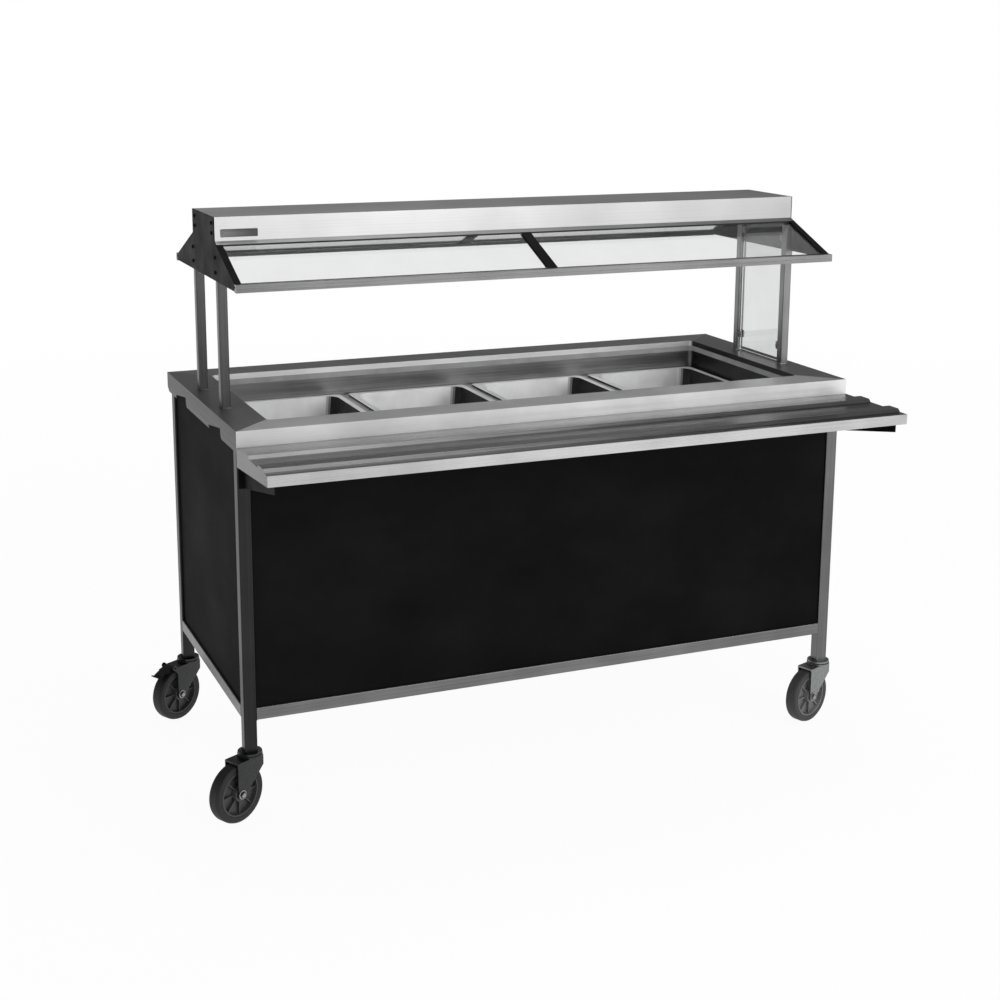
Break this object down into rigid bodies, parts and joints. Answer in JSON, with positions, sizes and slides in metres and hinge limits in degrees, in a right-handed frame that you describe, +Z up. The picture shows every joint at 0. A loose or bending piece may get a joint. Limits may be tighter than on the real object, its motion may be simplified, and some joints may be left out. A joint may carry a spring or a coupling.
{
  "type": "cold food serving counter",
  "caption": "Mobile cold food serving counter with an iced pan well, overshelf with glass guard, front tray slide and caster wheels.",
  "frame": {"origin": "On the floor, below the middle of the whole counter's box at rest.", "axes": "+Z up. +X along the counter to the end with the glass end pane, which is the right end seen from the customer's side. -Y towards the customer, on whose side the tray slide is; +Y towards the server and the open storage bay."},
  "size_m": [1.6664, 0.969, 1.353],
  "materials": {
    "stainless": "satin",
    "black_laminate": "satin",
    "black_paint": "satin",
    "clear_glass": "polished",
    "breaker": "matte",
    "foam": "matte",
    "brass": "satin",
    "handle": "gloss",
    "zinc": "satin",
    "pedal": "satin",
    "tyre": "matte",
    "hub": "matte"
  },
  "bodies": {
    "counter": {"leg_front_left": "stainless", "leg_front_right": "stainless", "leg_back_left": "stainless", "leg_back_right": "stainless", "bottom_rail_front": "stainless", "bottom_rail_back": "stainless", "bottom_rail_left": "stainless", "bottom_rail_right": "stainless", "top_frame": "stainless", "front_panel": "black_laminate", "left_panel": "black_laminate", "right_panel": "black_laminate", "bottom_shelf": "stainless", "counter_top": "stainless", "breaker_strip": "breaker", "well_liner": "stainless", "well_insulation": "foam", "well_casing": "stainless", "false_bottom": "stainless", "adapter_bars": "stainless", "drain_outlet": "stainless", "drain_valve_body": "brass", "post_front_left": "stainless", "post_front_right": "stainless", "post_back_left": "stainless", "post_back_right": "stainless", "canopy": "stainless", "end_panel_left": "black_paint", "end_panel_right": "black_paint", "glass_front_left": "clear_glass", "glass_front_right": "clear_glass", "glass_back_left": "clear_glass", "glass_back_right": "clear_glass", "guard_dividers": "black_paint", "guard_rail_front": "stainless", "guard_rail_back": "stainless", "end_pane": "clear_glass", "end_pane_clips": "stainless", "tray_slide": "stainless", "slide_brackets": "black_paint", "caster_mounts": "zinc"},
    "swivel_front_left": {"fork_front_left": "zinc"},
    "wheel_front_left": {"tyre_front_left": "tyre", "hub_front_left": "hub"},
    "swivel_front_right": {"fork_front_right": "zinc"},
    "wheel_front_right": {"tyre_front_right": "tyre", "hub_front_right": "hub"},
    "swivel_back_left": {"fork_back_left": "zinc"},
    "wheel_back_left": {"tyre_back_left": "tyre", "hub_back_left": "hub"},
    "pedal_back_left": {"brake_pedal_back_left": "pedal"},
    "swivel_back_right": {"fork_back_right": "zinc"},
    "wheel_back_right": {"tyre_back_right": "tyre", "hub_back_right": "hub"},
    "pedal_back_right": {"brake_pedal_back_right": "pedal"},
    "pan_1": {"pan_1": "stainless"},
    "pan_2": {"pan_2": "stainless"},
    "pan_3": {"pan_3": "stainless"},
    "pan_4": {"pan_4": "stainless"},
    "valve_handle": {"drain_valve_handle": "handle"}
  },
  "joints": [
    {"name": "caster_swivel_front_left", "type": "hinge", "parent": "counter", "child": "swivel_front_left", "pos_m": [-0.72577, -0.1925, 0.147], "axis": [0, 0, 1], "continuous": true},
    {"name": "wheel_spin_front_left", "type": "hinge", "parent": "swivel_front_left", "child": "wheel_front_left", "pos_m": [-0.7655, -0.21363, 0.07], "axis": [-0.4695, 0.8829, 0], "continuous": true},
    {"name": "caster_swivel_front_right", "type": "hinge", "parent": "counter", "child": "swivel_front_right", "pos_m": [0.80423, -0.1925, 0.147], "axis": [0, 0, 1], "continuous": true},
    {"name": "wheel_spin_front_right", "type": "hinge", "parent": "swivel_front_right", "child": "wheel_front_right", "pos_m": [0.76194, -0.20789, 0.07], "axis": [-0.342, 0.9397, 0], "continuous": true},
    {"name": "caster_swivel_back_left", "type": "hinge", "parent": "counter", "child": "swivel_back_left", "pos_m": [-0.72577, 0.4495, 0.147], "axis": [0, 0, 1], "continuous": true},
    {"name": "wheel_spin_back_left", "type": "hinge", "parent": "swivel_back_left", "child": "wheel_back_left", "pos_m": [-0.76474, 0.427, 0.07], "axis": [-0.5, 0.866, 0], "continuous": true},
    {"name": "brake_press_back_left", "type": "hinge", "parent": "swivel_back_left", "child": "pedal_back_left", "pos_m": [-0.78293, 0.4165, 0.147], "axis": [0.5, -0.866, 0], "range_deg": [0, 8]},
    {"name": "caster_swivel_back_right", "type": "hinge", "parent": "counter", "child": "swivel_back_right", "pos_m": [0.80423, 0.4495, 0.147], "axis": [0, 0, 1], "continuous": true},
    {"name": "wheel_spin_back_right", "type": "hinge", "parent": "swivel_back_right", "child": "wheel_back_right", "pos_m": [0.76312, 0.4312, 0.07], "axis": [-0.4067, 0.9135, 0], "continuous": true},
    {"name": "brake_press_back_right", "type": "hinge", "parent": "swivel_back_right", "child": "pedal_back_right", "pos_m": [0.74394, 0.42266, 0.147], "axis": [0.4067, -0.9135, 0], "range_deg": [0, 8]},
    {"name": "pan_lift_1", "type": "slide", "parent": "counter", "child": "pan_1", "axis": [0, 0, 1], "range_m": [0, 0.23]},
    {"name": "pan_lift_2", "type": "slide", "parent": "counter", "child": "pan_2", "axis": [0, 0, 1], "range_m": [0, 0.23]},
    {"name": "pan_lift_3", "type": "slide", "parent": "counter", "child": "pan_3", "axis": [0, 0, 1], "range_m": [0, 0.23]},
    {"name": "pan_lift_4", "type": "slide", "parent": "counter", "child": "pan_4", "axis": [0, 0, 1], "range_m": [0, 0.23]},
    {"name": "drain_valve_turn", "type": "hinge", "parent": "counter", "child": "valve_handle", "pos_m": [0.60923, 0.1285, 0.572], "axis": [0, 1, 0], "range_deg": [0, 90]}
  ]
}
